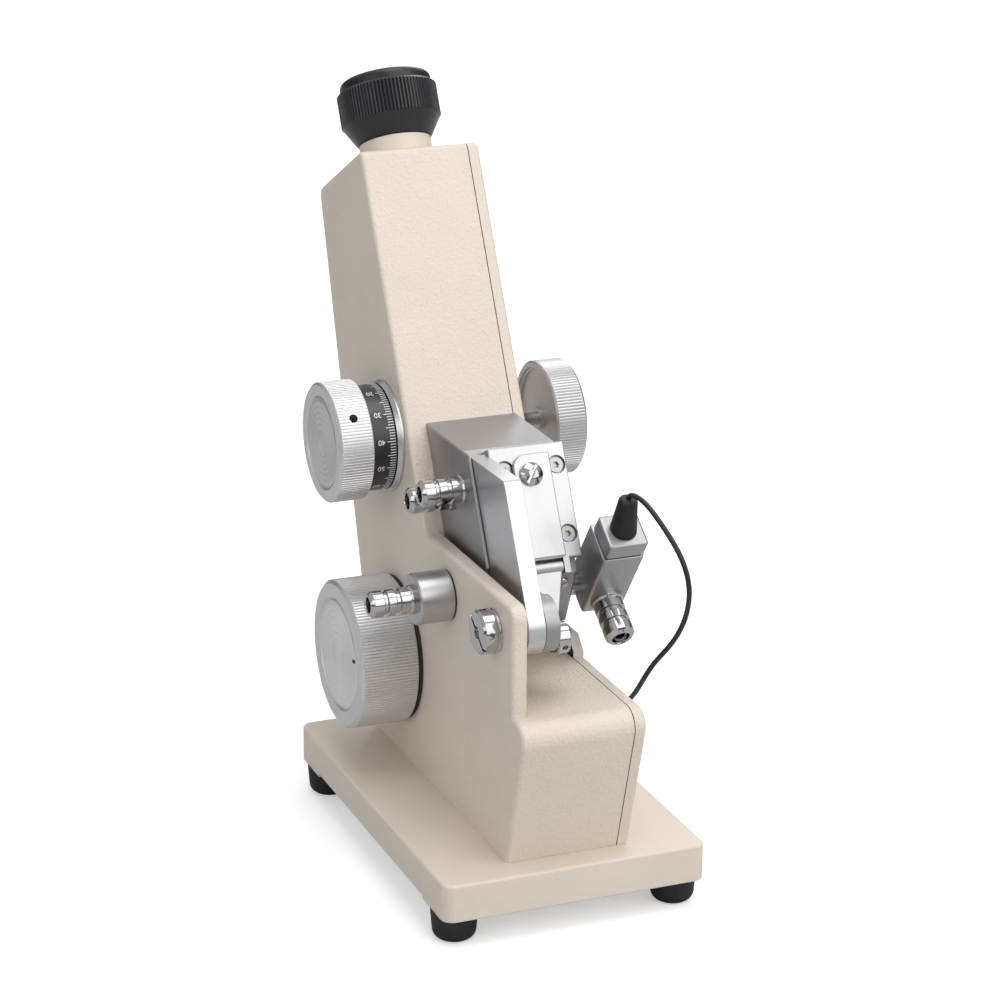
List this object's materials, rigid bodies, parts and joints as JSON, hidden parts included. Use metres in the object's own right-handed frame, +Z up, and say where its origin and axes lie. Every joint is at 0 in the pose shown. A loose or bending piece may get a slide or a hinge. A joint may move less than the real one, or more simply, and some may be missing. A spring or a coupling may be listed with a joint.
{
  "type": "abbe refractometer",
  "caption": "Bench refractometer with an inclined telescope column, water-jacketed prism jaw, measuring and dispersion knobs, hose nozzles and a temperature probe.",
  "frame": {"origin": "on the table plane under the middle of the base plate", "axes": "+Z up; -Y towards the nose with the prism head; +X towards the flat side cover, so the knobs are on -X"},
  "size_m": [0.105, 0.2153, 0.277],
  "materials": {
    "ivory_paint": "hammer-textured ivory enamel",
    "base_paint": "fine-textured ivory enamel",
    "rubber": "matte black",
    "steel": "zinc plated",
    "chrome": "bright nickel plate",
    "knob_alu": "satin anodised, straight knurl",
    "drum_black": "satin black, white graduations",
    "block_alu": "fine blasted",
    "bright_alu": "brushed bright",
    "black_plastic": "satin black",
    "brass": "machined",
    "black_metal": "black anodised",
    "optical_glass": "polished",
    "scale_glass": "engraved",
    "frosted_glass": "ground",
    "mirror": "first surface",
    "cable": "smooth black",
    "gasket": "matte black"
  },
  "bodies": {
    "stand": {"base_plate": "base_paint", "rubber_feet": "rubber", "foot_screws": "steel", "frame_screws": "steel", "main_housing": "ivory_paint", "side_cover": "ivory_paint", "scale_window": "frosted_glass", "cover_screws": "chrome", "telescope_tube": "black_metal", "telescope_lenses": "optical_glass", "eyepiece_neck": "ivory_paint", "compensator_tube": "black_metal", "dispersion_boss": "bright_alu", "measuring_washer": "gasket", "shaft_bushes": "brass", "prism_block": "block_alu", "measuring_prism": "optical_glass", "hose_nozzles": "chrome", "bleed_screw": "chrome", "hose_boss": "knob_alu", "boss_gasket": "gasket", "hinge_pin": "chrome", "lug_screw": "chrome", "lug_washer": "gasket", "sensor_stem": "chrome", "sensor_block": "bright_alu", "sensor_cap": "bright_alu", "strain_relief": "rubber", "sensor_cable": "cable", "cable_grommet": "rubber"},
    "measuring_drive": {"measuring_knob": "knob_alu", "measuring_shaft": "steel", "measuring_pinion": "brass"},
    "scale_sector": {"sector_gear": "brass", "sector_shaft": "steel", "scan_mirror": "mirror", "scale_glass": "scale_glass"},
    "dispersion_drive": {"dispersion_knob": "knob_alu", "knob_set_screw": "black_metal", "scale_drum": "drum_black", "dispersion_shaft": "steel"},
    "wheel_drive": {"right_wheel": "knob_alu", "wheel_shaft": "steel"},
    "amici_upper": {"amici_cell_upper": "brass", "amici_prism_upper": "optical_glass"},
    "amici_lower": {"amici_cell_lower": "brass", "amici_prism_lower": "optical_glass"},
    "jaw": {"jaw_body": "bright_alu", "front_plate": "bright_alu", "plate_screws": "steel", "strap_plate": "bright_alu", "strap_screw": "chrome", "illumination_prism": "frosted_glass", "flap_pin": "steel"},
    "flap": {"light_flap": "bright_alu"},
    "focus_ring": {"eyepiece_grip": "black_plastic", "eye_cup": "black_plastic", "eyepiece_barrel": "black_metal", "eye_lens": "optical_glass", "field_lens": "optical_glass"}
  },
  "joints": [
    {"name": "measuring_turn", "type": "hinge", "parent": "stand", "child": "measuring_drive", "pos_m": [-0.036, 0.0423, 0.0671], "axis": [1, 0, 0], "range_deg": [-150, 150]},
    {"name": "scale_swing", "type": "hinge", "parent": "stand", "child": "scale_sector", "pos_m": [0, 0.03363, 0.10717], "axis": [1, 0, 0], "range_deg": [-31, 31]},
    {"name": "dispersion_turn", "type": "hinge", "parent": "stand", "child": "dispersion_drive", "pos_m": [-0.036, 0.05467, 0.14758], "axis": [1, 0, 0], "continuous": true},
    {"name": "wheel_turn", "type": "hinge", "parent": "stand", "child": "wheel_drive", "pos_m": [0.044, 0.05467, 0.14758], "axis": [1, 0, 0], "continuous": true},
    {"name": "amici_upper_turn", "type": "hinge", "parent": "stand", "child": "amici_upper", "pos_m": [0, 0.05467, 0.14758], "axis": [0, 0.4617, 0.887], "continuous": true},
    {"name": "amici_lower_turn", "type": "hinge", "parent": "stand", "child": "amici_lower", "pos_m": [0, 0.05467, 0.14758], "axis": [0, 0.4617, 0.887], "continuous": true},
    {"name": "jaw_open", "type": "hinge", "parent": "stand", "child": "jaw", "pos_m": [-0.011, -0.056, 0.1092], "axis": [1, 0, 0], "range_deg": [0, 105]},
    {"name": "flap_open", "type": "hinge", "parent": "jaw", "child": "flap", "pos_m": [0.006, -0.02877, 0.11897], "axis": [-1, 0, 0], "range_deg": [0, 60]},
    {"name": "focus_turn", "type": "hinge", "parent": "stand", "child": "focus_ring", "pos_m": [0, 0.10274, 0.23992], "axis": [0, 0.4617, 0.887], "range_deg": [-120, 120]}
  ],
  "couplings": [
    {"joint": "scale_swing", "follows": "measuring_turn", "ratio": -0.20588},
    {"joint": "wheel_turn", "follows": "dispersion_turn", "ratio": -1},
    {"joint": "amici_upper_turn", "follows": "dispersion_turn", "ratio": 0.5},
    {"joint": "amici_lower_turn", "follows": "dispersion_turn", "ratio": -0.5}
  ]
}
